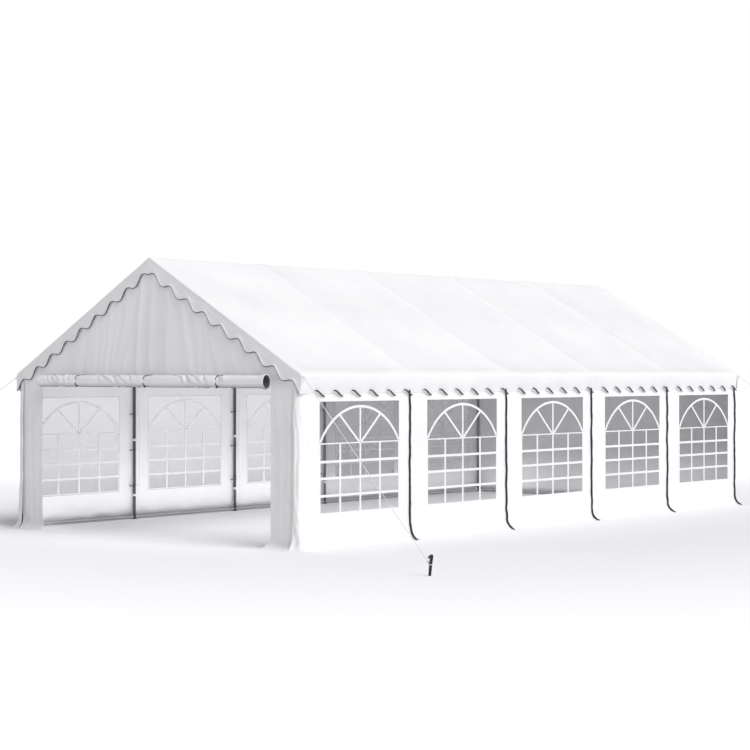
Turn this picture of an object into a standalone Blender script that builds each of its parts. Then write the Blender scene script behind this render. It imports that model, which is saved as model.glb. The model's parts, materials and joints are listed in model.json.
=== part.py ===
# Party marquee, five bays of 2 m, 5 m wide, 10 m long, with an open front gable.
# Metres. X runs across the tent, Y runs along it from the front gable (-Y) to the back,
# Z is up, and the origin is on the ground under the middle of the tent.

import math

import bmesh
import bpy
from mathutils import Matrix, Vector

# Driving dimensions
WALL_HALF = 2.50            # middle of the side wall sheet from the centre plane
ROOF_HALF = 2.565           # outer edge of the roof sheet at the eave
EAVE_HEIGHT = 2.03
RIDGE_HEIGHT = 3.48
BAY = 2.0
BAYS = 5
HALF_LENGTH = BAY * BAYS / 2
SHEET = 0.004               # thickness of the coated fabric
GAP = 0.0003                # clearance between pieces that touch

# Steel frame
TUBE_R = 0.019
RAIL_R = 0.016
BASE_RAIL_R = 0.0125
SLEEVE_R = 0.022
SLEEVE_REACH = 0.065        # how far a sleeve runs along a purlin from the joint
COLLAR_LENGTH = 0.13
BASE_RAIL_HEIGHT = 0.03
FOOT_BOSS_HEIGHT = 0.11
FOOT_HALF = 0.03
FOOT_THICK = 0.006
TUBE_SIDES = 12
SHARP_ANGLE = math.radians(35)

# Fabric
SKIRT_HEM = (2.515, 1.80)   # outer lower edge of the skirt under the eave
ROOF_END = HALF_LENGTH + 0.010
WALL_TOP = 1.99
FLAP_TOP = 0.10
FLAP_REACH = 0.20
END_FLAP_TOP = 0.07
SCALLOP_PITCH = 0.2888
SCALLOP_DEPTH = 0.2025      # mean drop of the hem below the roof edge
SCALLOP_WAVE = 0.044
SCALLOP_CREST = 0.072       # first crest of the wave from the centre plane
SCALLOP_POINTS = 6          # points for each wave

# Windows, measured along a bay from its front seam
WINDOW_WIDTH = 1.45
WINDOW_LOW = 0.394
WINDOW_HIGH = 1.713
WINDOW_START_RIGHT = 0.36
WINDOW_START_LEFT = 0.283
FILM = 0.0015

# Doorway and rolled door
DOOR_LEFT = -2.04
DOOR_RIGHT = 2.065
DOOR_TOP = 1.945
ROLL_R = 0.072
ROLL_START = -2.03
ROLL_END = 2.085
ROLL_HEIGHT = 1.948
STRAP_THICK = 0.003
STRAP_WIDTH = 0.035
STRAP_PLACES = (-1.24, 0.03, 1.29)
ROLL_SIDES = 24

# Guy ropes and pegs
ROPE_R = 0.004
ROPE_Y = 4.985
ROPE_HEIGHT = 1.998
PEG_X = 5.27
PEG_Y = 6.05
PEG_WIDTH = 0.034
PEG_TIP = 0.7               # width at the tip as a share of the shaft's
PEG_THROAT = 0.16           # height where the taper ends, under the beak
PEG_THICK = 0.022
PEG_BACK = ((0.017, 0.170), (0.025, 0.200), (0.017, 0.220))
PEG_BEAK = ((-0.0034, 0.216), (-0.062, 0.192), (-0.062, 0.175), (-0.033, 0.178))
PEG_LEAN = math.radians(10)
ROPE_GRIP = 0.115           # height on the peg where the rope ends
ROPE_KNOT = (0.012, -0.002) # where the rope bends, out and down from the skirt

SLOPE = math.atan2(RIDGE_HEIGHT - EAVE_HEIGHT, ROOF_HALF)
RISE = math.tan(SLOPE)
LEG_X = WALL_HALF - SHEET / 2 - GAP - SLEEVE_R
END_PORTAL_Y = HALF_LENGTH - SHEET / 2 - GAP - SLEEVE_R
FRAME_DROP = (SHEET + GAP + SLEEVE_R) / math.cos(SLOPE)


def frame_height(x):
    """Height of the rafter's axis at a distance from the centre plane."""
    return RIDGE_HEIGHT - FRAME_DROP - RISE * abs(x)


def roof_height(x):
    """Height of the roof sheet's outer face."""
    return RIDGE_HEIGHT - RISE * abs(x)


def clear_scene():
    for item in list(bpy.data.objects):
        bpy.data.objects.remove(item, do_unlink=True)


def collection(name):
    group = bpy.data.collections.new(name)
    bpy.context.scene.collection.children.link(group)
    return group


def material(name, color, roughness, metallic=0.0, alpha=1.0):
    mat = bpy.data.materials.new(name)
    mat.use_nodes = True
    shader = mat.node_tree.nodes["Principled BSDF"]
    shader.inputs["Base Color"].default_value = (*color, 1.0)
    shader.inputs["Roughness"].default_value = roughness
    shader.inputs["Metallic"].default_value = metallic
    shader.inputs["Alpha"].default_value = alpha
    mat.diffuse_color = (*color, alpha)
    return mat


def add_object(name, data, mat, group):
    obj = bpy.data.objects.new(name, data)
    if mat is not None:
        obj.data.materials.clear()
        obj.data.materials.append(mat)
    group.objects.link(obj)
    return obj


def mesh_from(bm, name):
    mesh = bpy.data.meshes.new(name)
    bm.to_mesh(mesh)
    bm.free()
    return mesh


def box_mesh(name, low, high):
    low, high = Vector(low), Vector(high)
    size = high - low
    place = Matrix.Translation((low + high) / 2) @ Matrix.Diagonal((*size, 1.0))
    bm = bmesh.new()
    bmesh.ops.create_cube(bm, size=1.0, matrix=place)
    return mesh_from(bm, name)


def tube_mesh(name, start, end, radius, sides=TUBE_SIDES):
    """A straight round bar with capped ends."""
    start, end = Vector(start), Vector(end)
    run = end - start
    turn = run.to_track_quat("Z", "Y").to_matrix().to_4x4()
    place = Matrix.Translation((start + end) / 2) @ turn
    bm = bmesh.new()
    bmesh.ops.create_cone(bm, cap_ends=True, segments=sides, radius1=radius,
                          radius2=radius, depth=run.length, matrix=place)
    return mesh_from(bm, name)


def smooth(mesh):
    mesh.shade_smooth()
    mesh.set_sharp_from_angle(angle=SHARP_ANGLE)


def combine(name, base, added, cut, cutters):
    """Mesh of a base joined with the added meshes, less the cut ones."""
    holder = add_object(name + "_base", base, None, cutters)
    temporary = [holder]
    groups = []
    for operation, meshes in (("UNION", added), ("DIFFERENCE", cut)):
        if not meshes:
            continue
        group = bpy.data.collections.new(name + operation)
        cutters.children.link(group)
        groups.append(group)
        for mesh in meshes:
            piece = add_object(mesh.name, mesh, None, group)
            piece.hide_render = True
            piece.display_type = "WIRE"
            temporary.append(piece)
        step = holder.modifiers.new(operation, "BOOLEAN")
        step.operation = operation
        step.operand_type = "COLLECTION"
        step.collection = group
        step.solver = "EXACT"
    bpy.context.view_layer.update()
    graph = bpy.context.evaluated_depsgraph_get()
    result = bpy.data.meshes.new_from_object(holder.evaluated_get(graph))
    result.name = name
    for piece in temporary:
        bpy.data.objects.remove(piece, do_unlink=True)
    for group in groups:
        bpy.data.collections.remove(group)
    return result


def outline_curve(name, points, half_depth):
    """A filled flat outline in the curve's XY plane, with a thickness along Z."""
    curve = bpy.data.curves.new(name, "CURVE")
    curve.dimensions = "2D"
    curve.fill_mode = "BOTH"
    curve.extrude = half_depth
    line = curve.splines.new("POLY")
    line.points.add(len(points) - 1)
    for point, (x, y) in zip(line.points, points):
        point.co = (x, y, 0.0, 1.0)
    line.use_cyclic_u = True
    return curve


def thicken(points, thickness):
    """Closed outline of a bent sheet: its outer line, and a parallel inner one."""
    inner = []
    for index, point in enumerate(points):
        here = Vector(point)
        sides = []
        if index > 0:
            sides.append((here - Vector(points[index - 1])).normalized())
        if index < len(points) - 1:
            sides.append((Vector(points[index + 1]) - here).normalized())
        normals = [Vector((-side.y, side.x)) for side in sides]
        middle = sum(normals, Vector((0.0, 0.0))).normalized()
        inner.append(here + middle * thickness / middle.dot(normals[0]))
    return [tuple(point) for point in points] + [tuple(point) for point in reversed(inner)]


def stand_across(obj, y):
    """Turns a flat outline to stand in the XZ plane at a distance along the tent."""
    obj.rotation_euler = (math.radians(90), 0.0, 0.0)
    obj.location = (0.0, y, 0.0)


def portal_mesh(name, back_reach, front_reach, cutters):
    """Legs, rafters, joint sleeves and feet of one portal, with the rails' holes."""
    eave = frame_height(LEG_X)
    ridge = frame_height(0.0)
    joints = [(side * share * LEG_X, frame_height(share * LEG_X))
              for side in (-1, 1) for share in (1.0, 0.5)] + [(0.0, ridge)]
    added = []
    cut = []
    for side in (-1, 1):
        leg = Vector((side * LEG_X, 0.0, 0.0))
        top = Vector((side * LEG_X, 0.0, eave))
        peak = Vector((0.0, 0.0, ridge))
        along = (peak - top).normalized()
        label = name + ("L" if side < 0 else "R")
        foot = leg + Vector((0.0, 0.0, FOOT_THICK / 2))
        added.append(tube_mesh(label + "leg", foot, top, TUBE_R))
        added.append(tube_mesh(label + "collar", top - Vector((0, 0, COLLAR_LENGTH)), top, SLEEVE_R))
        added.append(tube_mesh(label + "boss", foot, leg + Vector((0, 0, FOOT_BOSS_HEIGHT)), SLEEVE_R))
        added.append(box_mesh(label + "plate", leg + Vector((-FOOT_HALF, -FOOT_HALF, 0)),
                              leg + Vector((FOOT_HALF, FOOT_HALF, FOOT_THICK))))
        if side > 0:
            added.append(tube_mesh(label + "rafter", top, peak, TUBE_R))
        added.append(tube_mesh(label + "low", top, top + along * COLLAR_LENGTH, SLEEVE_R))
        added.append(tube_mesh(label + "high", peak, peak - along * COLLAR_LENGTH, SLEEVE_R))
        rail = leg + Vector((0, 0, BASE_RAIL_HEIGHT))
        cut.append(tube_mesh(label + "railhole", rail - Vector((0, BAY, 0)),
                             rail + Vector((0, BAY, 0)), BASE_RAIL_R + GAP))
    for x, z in joints:
        added.append(tube_mesh("sleeve", (x, -front_reach, z), (x, back_reach, z), SLEEVE_R))
        cut.append(tube_mesh("hole", (x, -BAY, z), (x, BAY, z), RAIL_R + GAP))
    base = tube_mesh(name + "base", (-LEG_X, 0.0, eave), (0.0, 0.0, ridge), TUBE_R)
    mesh = combine(name, base, added, cut, cutters)
    smooth(mesh)
    return mesh


def make_portals(parts, cutters, steel):
    middle = portal_mesh("portal_middle", SLEEVE_REACH, SLEEVE_REACH, cutters)
    end = portal_mesh("portal_end", SLEEVE_REACH, SLEEVE_R, cutters)
    for index in range(BAYS + 1):
        last = index in (0, BAYS)
        obj = add_object("portal_%d" % (index + 1), (end if last else middle).copy(), steel, parts)
        y = -HALF_LENGTH + BAY * index
        if last:
            y = math.copysign(END_PORTAL_Y, y)
        obj.location = (0.0, y, 0.0)
        if index == BAYS:
            obj.rotation_euler = (0.0, 0.0, math.pi)


def make_rails(parts, steel):
    reach = HALF_LENGTH - SHEET / 2 - 2 * GAP
    rails = [("ridge_pole", 0.0, frame_height(0.0), RAIL_R)]
    for side, x_sign in (("left", -1), ("right", 1)):
        rails.append((side + "_eave_pole", x_sign * LEG_X, frame_height(LEG_X), RAIL_R))
        rails.append((side + "_purlin", x_sign * LEG_X / 2, frame_height(LEG_X / 2), RAIL_R))
        rails.append((side + "_base_rail", x_sign * LEG_X, BASE_RAIL_HEIGHT, BASE_RAIL_R))
    for name, x, z, radius in rails:
        mesh = tube_mesh(name, (x, -reach, z), (x, reach, z), radius)
        smooth(mesh)
        add_object(name, mesh, steel, parts)
    half = LEG_X - SLEEVE_R - GAP
    mesh = tube_mesh("back_base_rail", (-half, END_PORTAL_Y, BASE_RAIL_HEIGHT),
                     (half, END_PORTAL_Y, BASE_RAIL_HEIGHT), BASE_RAIL_R)
    smooth(mesh)
    add_object("back_base_rail", mesh, steel, parts)


def make_roof(parts, fabric):
    outer = [SKIRT_HEM, (ROOF_HALF, EAVE_HEIGHT), (0.0, RIDGE_HEIGHT),
             (-ROOF_HALF, EAVE_HEIGHT), (-SKIRT_HEM[0], SKIRT_HEM[1])]
    curve = outline_curve("roof_cover", thicken(outer, SHEET), ROOF_END)
    stand_across(add_object("roof_cover", curve, fabric, parts), 0.0)


def scallop_height(x):
    """Height of the valance's wavy hem."""
    turn = 2 * math.pi * (abs(x) - SCALLOP_CREST) / SCALLOP_PITCH
    return roof_height(x) - SCALLOP_DEPTH + SCALLOP_WAVE * math.cos(turn)


def make_valances(parts, fabric):
    steps = round(2 * ROOF_HALF / SCALLOP_PITCH * SCALLOP_POINTS)
    hem_half = SKIRT_HEM[0]
    hem = [-hem_half + 2 * hem_half * step / steps for step in range(steps + 1)]
    points = [(x, scallop_height(x)) for x in hem]
    points += [(ROOF_HALF, EAVE_HEIGHT), (0.0, RIDGE_HEIGHT), (-ROOF_HALF, EAVE_HEIGHT)]
    for name, side in (("front_valance", -1), ("back_valance", 1)):
        curve = outline_curve(name, points, SHEET / 2)
        y = side * (ROOF_END + GAP + SHEET / 2)
        stand_across(add_object(name, curve, fabric, parts), y)


def make_gables(parts, fabric):
    half = WALL_HALF + SHEET / 2
    drop = (SHEET + GAP) / math.cos(SLOPE)
    points = [(-half, DOOR_TOP), (half, DOOR_TOP), (half, roof_height(half) - drop),
              (0.0, RIDGE_HEIGHT - drop), (-half, roof_height(half) - drop)]
    for name, side in (("front_gable", -1), ("back_gable", 1)):
        curve = outline_curve(name, points, SHEET / 2)
        stand_across(add_object(name, curve, fabric, parts), side * HALF_LENGTH)


def make_end_sheet(name, left, right, side, parts, fabric):
    """An upright end sheet with its lower edge turned out along the ground."""
    face = HALF_LENGTH + SHEET / 2
    tail = face + FLAP_REACH - SHEET
    line = [(tail, SHEET), (face, END_FLAP_TOP), (face, DOOR_TOP - GAP)]
    points = thicken(line, SHEET)
    curve = outline_curve(name, points, (right - left) / 2)
    obj = add_object(name, curve, fabric, parts)
    middle = (left + right) / 2
    turn = Matrix.Rotation(side * math.pi / 2, 4, "Z") @ Matrix.Rotation(math.pi / 2, 4, "X")
    obj.matrix_world = Matrix.Translation((middle, 0.0, 0.0)) @ turn


def make_ends(parts, fabric):
    half = WALL_HALF + SHEET / 2
    make_end_sheet("front_strip_left", -half, DOOR_LEFT, -1, parts, fabric)
    make_end_sheet("front_strip_right", DOOR_RIGHT, half, -1, parts, fabric)
    make_end_sheet("back_wall", -half, half, 1, parts, fabric)


def make_side_walls(parts, cutters, fabric, film):
    limit = HALF_LENGTH - SHEET / 2 - GAP
    for side, x_sign, start in (("left", -1, WINDOW_START_LEFT), ("right", 1, WINDOW_START_RIGHT)):
        middle = x_sign * WALL_HALF
        for index in range(BAYS):
            seam = -HALF_LENGTH + BAY * index
            y_low = max(seam + GAP / 2, -limit)
            y_high = min(seam + BAY - GAP / 2, limit)
            window_low = seam + start
            window_high = window_low + WINDOW_WIDTH
            panel = box_mesh("panel", (middle - SHEET / 2, y_low, FLAP_TOP),
                             (middle + SHEET / 2, y_high, WALL_TOP))
            hole = box_mesh("hole", (middle - SHEET, window_low, WINDOW_LOW),
                            (middle + SHEET, window_high, WINDOW_HIGH))
            mesh = combine("wall", panel, [], [hole], cutters)
            add_object("side_wall_%s_%d" % (side, index + 1), mesh, fabric, parts)
            pane = box_mesh("pane", (middle - FILM / 2, window_low + GAP, WINDOW_LOW + GAP),
                            (middle + FILM / 2, window_high - GAP, WINDOW_HIGH - GAP))
            add_object("window_%s_%d" % (side, index + 1), pane, film, parts)
        make_ground_flap(side, x_sign, parts, fabric)


def make_ground_flap(side, x_sign, parts, fabric):
    """The wall's lower edge, which slopes out to lie on the ground."""
    top_x = WALL_HALF - SHEET / 2
    low_x = top_x + FLAP_REACH
    points = [(top_x, FLAP_TOP - GAP), (top_x, FLAP_TOP - GAP - SHEET), (low_x, 0.0),
              (low_x, SHEET), (top_x + SHEET, FLAP_TOP - GAP)]
    points = [(x_sign * x, z) for x, z in points]
    curve = outline_curve("ground_flap_" + side, points, HALF_LENGTH - SHEET / 2 - GAP)
    stand_across(add_object("ground_flap_" + side, curve, fabric, parts), 0.0)


def make_rolled_door(parts, cutters, fabric, strap):
    ring_r = ROLL_R + GAP + STRAP_THICK
    y = -HALF_LENGTH - SHEET / 2 - GAP - ring_r
    roll = tube_mesh("rolled_door", (ROLL_START, y, ROLL_HEIGHT), (ROLL_END, y, ROLL_HEIGHT),
                     ROLL_R, ROLL_SIDES)
    smooth(roll)
    add_object("rolled_door", roll, fabric, parts)
    for index, x in enumerate(STRAP_PLACES):
        left, right = x - STRAP_WIDTH / 2, x + STRAP_WIDTH / 2
        ring = tube_mesh("ring", (left, y, ROLL_HEIGHT), (right, y, ROLL_HEIGHT), ring_r, ROLL_SIDES)
        bore = tube_mesh("bore", (left - STRAP_WIDTH, y, ROLL_HEIGHT),
                         (right + STRAP_WIDTH, y, ROLL_HEIGHT), ROLL_R + GAP, ROLL_SIDES)
        mesh = combine("strap", ring, [], [bore], cutters)
        smooth(mesh)
        add_object("door_strap_%d" % (index + 1), mesh, strap, parts)


def peg_outline():
    """Side view of a leaning peg, with a beak at the top that hooks the rope."""
    half = PEG_WIDTH / 2
    upright = [(-half * PEG_TIP, 0.0), (half * PEG_TIP, 0.0), *PEG_BACK, *PEG_BEAK, (-half, PEG_THROAT)]
    return [(x + z * math.tan(PEG_LEAN), z) for x, z in upright]


def make_guys(parts, rope, plastic):
    """Each rope runs straight from an eave corner to its peg."""
    skirt_tilt = (ROOF_HALF - SKIRT_HEM[0]) / (EAVE_HEIGHT - SKIRT_HEM[1])
    skirt_x = ROOF_HALF - (EAVE_HEIGHT - ROPE_HEIGHT - ROPE_R) * skirt_tilt + GAP
    for name, x_sign, y_sign in (("front_left", -1, -1), ("front_right", 1, -1),
                                 ("back_left", -1, 1), ("back_right", 1, 1)):
        foot = Vector((x_sign * PEG_X, y_sign * PEG_Y, 0.0))
        hook = Vector((x_sign * skirt_x, y_sign * ROPE_Y, ROPE_HEIGHT))
        inward = Vector((hook.x - foot.x, hook.y - foot.y, 0.0)).normalized()
        heading = math.atan2(-inward.y, -inward.x)
        peg = add_object("peg_" + name, outline_curve("peg", peg_outline(), PEG_THICK / 2),
                         plastic, parts)
        upright = Matrix.Rotation(math.pi / 2, 4, "X")
        peg.matrix_world = Matrix.Translation(foot) @ Matrix.Rotation(heading, 4, "Z") @ upright
        width_share = PEG_TIP + (1 - PEG_TIP) * ROPE_GRIP / PEG_THROAT
        shaft_face = PEG_WIDTH / 2 * width_share - ROPE_GRIP * math.tan(PEG_LEAN)
        fall = math.atan2(ROPE_HEIGHT - ROPE_GRIP, (hook - foot).to_2d().length)
        reach = ROPE_R * math.sin(fall) + GAP
        grip = foot + inward * (shaft_face + reach) + Vector((0.0, 0.0, ROPE_GRIP))
        knot = hook + Vector((x_sign * ROPE_KNOT[0], 0.0, ROPE_KNOT[1]))
        curve = bpy.data.curves.new("guy_rope_" + name, "CURVE")
        curve.dimensions = "3D"
        curve.bevel_depth = ROPE_R
        curve.bevel_resolution = 2
        curve.use_fill_caps = True
        line = curve.splines.new("POLY")
        line.points.add(2)
        for point, place in zip(line.points, (hook, knot, grip)):
            point.co = (*place, 1.0)
        add_object("guy_rope_" + name, curve, rope, parts)


def main():
    clear_scene()
    parts = collection("marquee_tent")
    cutters = collection("cutters")
    steel = material("dark_steel", (0.045, 0.047, 0.050), 0.45, 0.7)
    fabric = material("white_sheet", (0.83, 0.83, 0.84), 0.5)
    film = material("window_film", (0.78, 0.80, 0.84), 0.12, 0.0, 0.35)
    strap = material("strap_webbing", (0.75, 0.75, 0.74), 0.7)
    rope = material("white_rope", (0.82, 0.82, 0.80), 0.8)
    plastic = material("black_peg", (0.012, 0.012, 0.013), 0.45)
    make_portals(parts, cutters, steel)
    make_rails(parts, steel)
    make_roof(parts, fabric)
    make_valances(parts, fabric)
    make_gables(parts, fabric)
    make_ends(parts, fabric)
    make_side_walls(parts, cutters, fabric, film)
    make_rolled_door(parts, cutters, fabric, strap)
    make_guys(parts, rope, plastic)
    bpy.context.view_layer.update()


main()
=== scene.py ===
import json
import math

import bpy
import numpy as np
from mathutils import Matrix, Vector

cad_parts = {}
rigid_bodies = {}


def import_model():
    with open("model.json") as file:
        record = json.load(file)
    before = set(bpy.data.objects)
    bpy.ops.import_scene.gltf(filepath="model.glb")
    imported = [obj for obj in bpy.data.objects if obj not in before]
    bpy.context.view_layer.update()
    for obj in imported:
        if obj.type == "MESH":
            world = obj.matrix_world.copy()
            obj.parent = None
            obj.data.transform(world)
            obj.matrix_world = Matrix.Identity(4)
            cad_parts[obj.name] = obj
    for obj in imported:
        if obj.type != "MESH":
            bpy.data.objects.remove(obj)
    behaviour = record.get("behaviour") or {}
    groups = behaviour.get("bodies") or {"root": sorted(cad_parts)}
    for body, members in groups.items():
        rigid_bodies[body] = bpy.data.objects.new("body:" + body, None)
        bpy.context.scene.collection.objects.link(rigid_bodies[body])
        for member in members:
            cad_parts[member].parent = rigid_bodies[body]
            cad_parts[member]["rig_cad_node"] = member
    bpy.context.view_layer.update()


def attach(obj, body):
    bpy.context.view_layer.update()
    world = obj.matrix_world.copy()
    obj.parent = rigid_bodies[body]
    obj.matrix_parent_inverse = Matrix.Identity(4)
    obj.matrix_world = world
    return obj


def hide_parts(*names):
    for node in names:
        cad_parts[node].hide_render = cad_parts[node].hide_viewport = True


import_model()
print("frame loaded")

# sizes that several pieces share, in metres
tent = {
    "wallX": 2.502,
    "endY": 5.002,
    "roofEnd": 5.012,
    "eave": (2.565, 2.03),
    "ridge": 3.48,
    "skirtHem": (2.515, 1.80),
    "rafters": (-4.976, -3.0, -1.0, 1.0, 3.0, 4.976),
    "bay": 2.0,
    "bays": 5,
    "wallTop": 1.985,
    "cloth": 0.0016,
}
slopeRun = math.hypot(tent["eave"][0], tent["ridge"] - tent["eave"][1])
skirtRun = math.hypot(tent["eave"][0] - tent["skirtHem"][0], tent["eave"][1] - tent["skirtHem"][1])
roofPitch = (tent["ridge"] - tent["eave"][1]) / tent["eave"][0]


# camera, light and floor

studio = {
    "cameraPlace": (17.0114, -20.7244, 2.0544),
    "cameraTurn": 0.7042,
    "lens": 89.32,
    "shiftY": -0.0035,
    "skyLight": 0.33,
    "sunFrom": (0.57, -0.045, 0.60),
    "sunPower": 2.72,
    "sunWidth": 40,
    "floorWide": 240,
    "floorGlow": (0.03, 0.32),
    "glowReach": (5, 14),
    "lamps": {
        "leftBounce": {"place": (-1.75, 0, 0.04), "lean": 180, "size": (1.1, 9.6), "power": 58, "spread": 180},
        "rightBounce": {"place": (1.75, 0, 0.04), "lean": 180, "size": (1.1, 9.6), "power": 10, "spread": 180},
        "canopyGlow": {"place": (0, 0, 2.45), "lean": 0, "size": (2.2, 9.6), "power": 50, "spread": 110},
    },
}


def setStudio():
    bpy.ops.object.select_all(action="DESELECT")
    bpy.ops.object.camera_add(location=studio["cameraPlace"])
    camera = bpy.context.object
    camera.rotation_euler = (math.radians(90), 0, studio["cameraTurn"])
    camera.data.sensor_fit = "HORIZONTAL"
    camera.data.sensor_width = 36
    camera.data.lens = studio["lens"]
    camera.data.shift_y = studio["shiftY"]
    camera.data.clip_end = 400
    bpy.context.scene.camera = camera
    bpy.context.scene.view_settings.view_transform = "Standard"

    world = bpy.data.worlds.new("paleStudio")
    bpy.context.scene.world = world
    world.use_nodes = True
    tree = world.node_tree
    backdrop = tree.nodes["Background"]
    backdrop.inputs["Color"].default_value = (1, 1, 1, 1)
    fill = tree.nodes.new("ShaderNodeBackground")
    fill.inputs["Color"].default_value = (0.97, 0.97, 1.0, 1)
    fill.inputs["Strength"].default_value = studio["skyLight"]
    seen = tree.nodes.new("ShaderNodeLightPath")
    choose = tree.nodes.new("ShaderNodeMixShader")
    tree.links.new(seen.outputs["Is Camera Ray"], choose.inputs["Fac"])
    tree.links.new(fill.outputs["Background"], choose.inputs[1])
    tree.links.new(backdrop.outputs["Background"], choose.inputs[2])
    tree.links.new(choose.outputs["Shader"], tree.nodes["World Output"].inputs["Surface"])

    bpy.ops.object.light_add(type="SUN", location=(12, -6, 12))
    sun = bpy.context.object
    sun.rotation_euler = Vector(studio["sunFrom"]).to_track_quat("Z", "Y").to_euler()
    sun.data.energy = studio["sunPower"]
    sun.data.angle = math.radians(studio["sunWidth"])

    # soft light that the floor and the pale roof would send round the inside
    for name, glow in studio["lamps"].items():
        bpy.ops.object.light_add(type="AREA", location=glow["place"])
        lamp = bpy.context.object
        lamp.name = name
        lamp.rotation_euler = (0, math.radians(glow["lean"]), 0)
        lamp.data.shape = "RECTANGLE"
        lamp.data.size, lamp.data.size_y = glow["size"]
        lamp.data.energy = glow["power"]
        lamp.data.spread = math.radians(glow["spread"])
        lamp.visible_camera = False

    bpy.ops.mesh.primitive_plane_add(size=studio["floorWide"])
    floor = bpy.context.object
    floor.name = "studioFloor"
    paint = bpy.data.materials.new("paleFloor")
    paint.use_nodes = True
    shader = paint.node_tree.nodes["Principled BSDF"]
    shader.inputs["Base Color"].default_value = (0.81, 0.81, 0.83, 1)
    shader.inputs["Roughness"].default_value = 0.9
    shader.inputs["Specular IOR Level"].default_value = 0.1
    # painted shade: the floor glows so it reads white, and its glow is weaker near the tent, standing in for the tent's
    # soft shadow
    shader.inputs["Emission Color"].default_value = (1, 1, 1, 1)
    tree = paint.node_tree
    where = tree.nodes.new("ShaderNodeTexCoord")
    far = tree.nodes.new("ShaderNodeVectorMath")
    far.operation = "LENGTH"
    tree.links.new(where.outputs["Object"], far.inputs[0])
    shadeNearTent = tree.nodes.new("ShaderNodeMapRange")
    shadeNearTent.inputs["From Min"].default_value, shadeNearTent.inputs["From Max"].default_value = studio["glowReach"]
    shadeNearTent.inputs["To Min"].default_value, shadeNearTent.inputs["To Max"].default_value = studio["floorGlow"]
    tree.links.new(far.outputs["Value"], shadeNearTent.inputs["Value"])
    tree.links.new(shadeNearTent.outputs["Result"], shader.inputs["Emission Strength"])
    floor.data.materials.append(paint)


setStudio()
print("studio set")


# materials

def startMaterial(name, color, roughness):
    made = bpy.data.materials.new(name)
    made.use_nodes = True
    shader = made.node_tree.nodes["Principled BSDF"]
    shader.inputs["Base Color"].default_value = (*color, 1)
    shader.inputs["Roughness"].default_value = roughness
    made.diffuse_color = (*color, 1)
    return made, made.node_tree, shader


def addNoise(tree, coords, scale, detail=3.0):
    noise = tree.nodes.new("ShaderNodeTexNoise")
    noise.inputs["Scale"].default_value = scale
    noise.inputs["Detail"].default_value = detail
    tree.links.new(coords, noise.inputs["Vector"])
    return noise.outputs["Fac"]


def addBands(tree, coords, scale, direction):
    bands = tree.nodes.new("ShaderNodeTexWave")
    bands.wave_type = "BANDS"
    bands.bands_direction = direction
    bands.inputs["Scale"].default_value = scale
    tree.links.new(coords, bands.inputs["Vector"])
    return bands.outputs["Fac"]


def addMath(tree, kind, first, second):
    step = tree.nodes.new("ShaderNodeMath")
    step.operation = kind
    for socket, value in zip(step.inputs, (first, second)):
        if isinstance(value, (int, float)):
            socket.default_value = value
        else:
            tree.links.new(value, socket)
    return step.outputs["Value"]


def addRange(tree, value, low, high):
    span = tree.nodes.new("ShaderNodeMapRange")
    span.inputs["From Min"].default_value = 0.3
    span.inputs["From Max"].default_value = 0.7
    span.inputs["To Min"].default_value = low
    span.inputs["To Max"].default_value = high
    tree.links.new(value, span.inputs["Value"])
    return span.outputs["Result"]


def addTint(tree, value, shader, dark, light):
    ramp = tree.nodes.new("ShaderNodeValToRGB")
    ramp.color_ramp.elements[0].position = 0.3
    ramp.color_ramp.elements[0].color = (*dark, 1)
    ramp.color_ramp.elements[1].position = 0.7
    ramp.color_ramp.elements[1].color = (*light, 1)
    tree.links.new(value, ramp.inputs["Fac"])
    tree.links.new(ramp.outputs["Color"], shader.inputs["Base Color"])


def addBump(tree, shader, height, depth, under=None):
    bump = tree.nodes.new("ShaderNodeBump")
    bump.inputs["Strength"].default_value = 1.0
    bump.inputs["Distance"].default_value = depth
    tree.links.new(height, bump.inputs["Height"])
    if under is not None:
        tree.links.new(under, bump.inputs["Normal"])
    tree.links.new(bump.outputs["Normal"], shader.inputs["Normal"])
    return bump.outputs["Normal"]


def coordsOf(tree, kind):
    return tree.nodes.new("ShaderNodeTexCoord").outputs[kind]


# coated polyester sheet: fine weave under a satin coat, faint cloudiness and soft handling marks
def coatedSheet(name, dark, light, weave=0.00012):
    made, tree, shader = startMaterial(name, light, 0.5)
    place, flat = coordsOf(tree, "Object"), coordsOf(tree, "UV")
    addTint(tree, addNoise(tree, place, 1.3, 4), shader, dark, light)
    tree.links.new(addRange(tree, addNoise(tree, place, 7, 3), 0.44, 0.6), shader.inputs["Roughness"])
    warp, weft = addBands(tree, flat, 75, "X"), addBands(tree, flat, 75, "Y")
    threads = addBump(tree, shader, addMath(tree, "MULTIPLY", warp, weft), weave)
    addBump(tree, shader, addNoise(tree, place, 9, 4), 0.0012, threads)
    shader.inputs["Sheen Weight"].default_value = 0.08
    shader.inputs["Sheen Roughness"].default_value = 0.5
    return made


def addHeight(tree, low, high, atLow, atHigh):
    parts = tree.nodes.new("ShaderNodeSeparateXYZ")
    tree.links.new(coordsOf(tree, "Object"), parts.inputs["Vector"])
    span = tree.nodes.new("ShaderNodeMapRange")
    for name, value in (("From Min", low), ("From Max", high), ("To Min", atLow), ("To Max", atHigh)):
        span.inputs[name].default_value = value
    tree.links.new(parts.outputs["Z"], span.inputs["Value"])
    return span.outputs["Result"]


# clear vinyl whose opacity changes from the sill up to a height, as painted light and shade standing in for the
# brighter and darker inside seen through it
def clearFilm(name, tint, upTo, atSill, atHead):
    made, tree, shader = startMaterial(name, tint, 0.12)
    place = coordsOf(tree, "Object")
    tree.links.new(addRange(tree, addNoise(tree, place, 4, 4), 0.08, 0.2), shader.inputs["Roughness"])
    addBump(tree, shader, addNoise(tree, place, 5, 2), 0.002)
    tree.links.new(addHeight(tree, 0.5, upTo, atSill, atHead), shader.inputs["Alpha"])
    return made
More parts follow.
